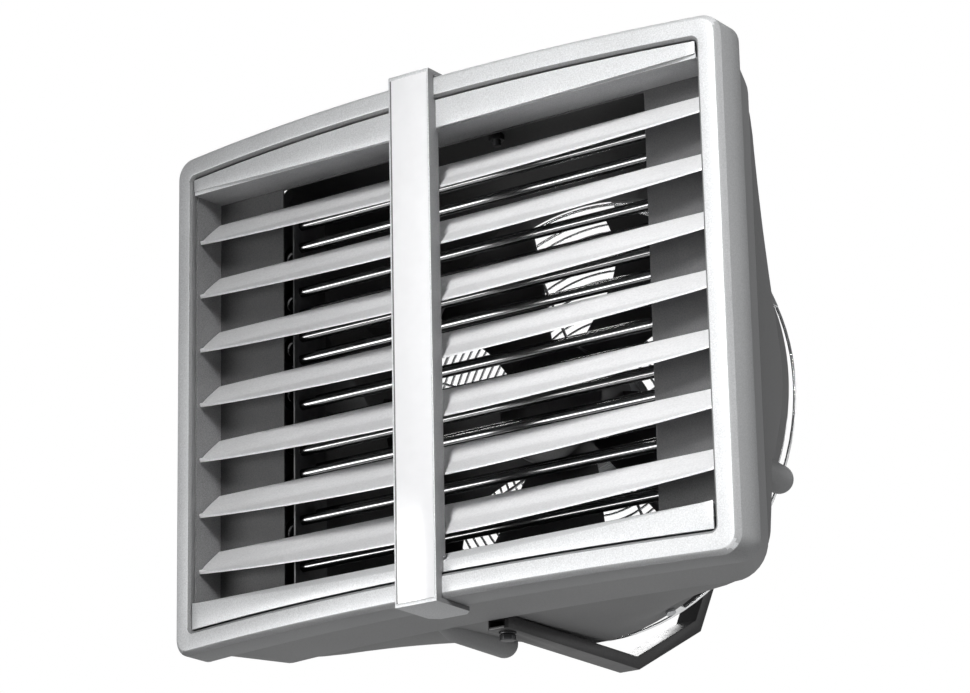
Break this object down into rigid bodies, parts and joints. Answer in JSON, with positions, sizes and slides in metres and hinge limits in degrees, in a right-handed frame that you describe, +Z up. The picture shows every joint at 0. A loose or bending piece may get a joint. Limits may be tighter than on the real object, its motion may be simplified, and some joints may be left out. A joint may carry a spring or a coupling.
{
  "type": "fan heater",
  "caption": "Box-shaped fan heater with a bowed louvred front, a bare-tube coil, an axial fan with a wire guard, and a bent steel bracket on which it swivels.",
  "frame": {"origin": "centre of the bracket's flat rear face, where it meets the wall or ceiling bracket plate", "axes": "+Z up, +X to the viewer's right when facing the louvres, front faces -Y, wall behind at +Y"},
  "size_m": [0.603, 0.5142, 0.504],
  "materials": {
    "louvre_paint": "satin silver-white paint on aluminium",
    "silver_paint": "satin light silver-grey paint",
    "white_gloss": "gloss white",
    "grey_shell": "matt mid grey",
    "dark_duct": "dark grey paint",
    "bright_tube": "bright drawn tube",
    "galvanised": "zinc plated",
    "chrome_wire": "bright plated wire",
    "black_plastic": "black",
    "black_steel": "black powder coat"
  },
  "bodies": {
    "bracket": {"bracket_bow": "black_steel", "pivot_bolt_lower": "black_steel", "pivot_bolt_upper": "black_steel", "pivot_nut_lower": "galvanised", "pivot_nut_upper": "galvanised", "pivot_washer_lower": "black_steel", "pivot_washer_upper": "black_steel"},
    "casing": {"cable_gland": "black_plastic", "centre_strip": "silver_paint", "coil_baffle": "dark_duct", "coil_end_plate_left": "galvanised", "coil_end_plate_right": "galvanised", "coil_tubes_1": "bright_tube", "coil_tubes_2": "bright_tube", "fan_guard": "chrome_wire", "fan_hood": "grey_shell", "front_bezel": "silver_paint", "guard_screw_1": "galvanised", "guard_screw_2": "galvanised", "guard_screw_3": "galvanised", "guard_screw_4": "galvanised", "header_panel": "silver_paint", "lid_screw_1": "galvanised", "lid_screw_2": "galvanised", "lower_stub": "grey_shell", "motor_screw_1": "galvanised", "motor_screw_2": "galvanised", "motor_screw_3": "galvanised", "motor_screw_4": "galvanised", "motor_stator": "galvanised", "pivot_spacer_lower": "galvanised", "pivot_spacer_upper": "galvanised", "rear_shell": "grey_shell", "side_plate_left": "dark_duct", "side_plate_right": "dark_duct", "side_stub": "grey_shell", "sill_panel": "silver_paint", "strip_inlay": "white_gloss", "terminal_box": "black_plastic", "terminal_lid": "black_plastic"},
    "fan": {"fan_blade_1": "black_plastic", "fan_blade_2": "black_plastic", "fan_blade_3": "black_plastic", "fan_blade_4": "black_plastic", "fan_blade_5": "black_plastic", "fan_hub": "black_plastic"},
    "louvre_1": {"louvre_1": "louvre_paint"},
    "louvre_2": {"louvre_2": "louvre_paint"},
    "louvre_3": {"louvre_3": "louvre_paint"},
    "louvre_4": {"louvre_4": "louvre_paint"},
    "louvre_5": {"louvre_5": "louvre_paint"},
    "louvre_6": {"louvre_6": "louvre_paint"},
    "louvre_7": {"louvre_7": "louvre_paint"}
  },
  "joints": [
    {"name": "bracket_swivel", "type": "hinge", "parent": "bracket", "child": "casing", "pos_m": [0, -0.375, 0], "axis": [0, 0, 1], "range_deg": [-20, 35]},
    {"name": "fan_spin", "type": "hinge", "parent": "casing", "child": "fan", "pos_m": [0, -0.272, -0.0125], "axis": [0, 1, 0], "continuous": true},
    {"name": "louvre_1_tilt", "type": "hinge", "parent": "casing", "child": "louvre_1", "pos_m": [0, -0.4645, 0.1589], "axis": [1, 0, 0], "range_deg": [-5, 30]},
    {"name": "louvre_2_tilt", "type": "hinge", "parent": "casing", "child": "louvre_2", "pos_m": [0, -0.4645, 0.1056], "axis": [1, 0, 0], "range_deg": [-5, 30]},
    {"name": "louvre_3_tilt", "type": "hinge", "parent": "casing", "child": "louvre_3", "pos_m": [0, -0.4645, 0.0523], "axis": [1, 0, 0], "range_deg": [-5, 30]},
    {"name": "louvre_4_tilt", "type": "hinge", "parent": "casing", "child": "louvre_4", "pos_m": [0, -0.4645, -0.001], "axis": [1, 0, 0], "range_deg": [-5, 30]},
    {"name": "louvre_5_tilt", "type": "hinge", "parent": "casing", "child": "louvre_5", "pos_m": [0, -0.4645, -0.0543], "axis": [1, 0, 0], "range_deg": [-5, 30]},
    {"name": "louvre_6_tilt", "type": "hinge", "parent": "casing", "child": "louvre_6", "pos_m": [0, -0.4645, -0.1076], "axis": [1, 0, 0], "range_deg": [-5, 30]},
    {"name": "louvre_7_tilt", "type": "hinge", "parent": "casing", "child": "louvre_7", "pos_m": [0, -0.4645, -0.1609], "axis": [1, 0, 0], "range_deg": [-5, 30]}
  ]
}
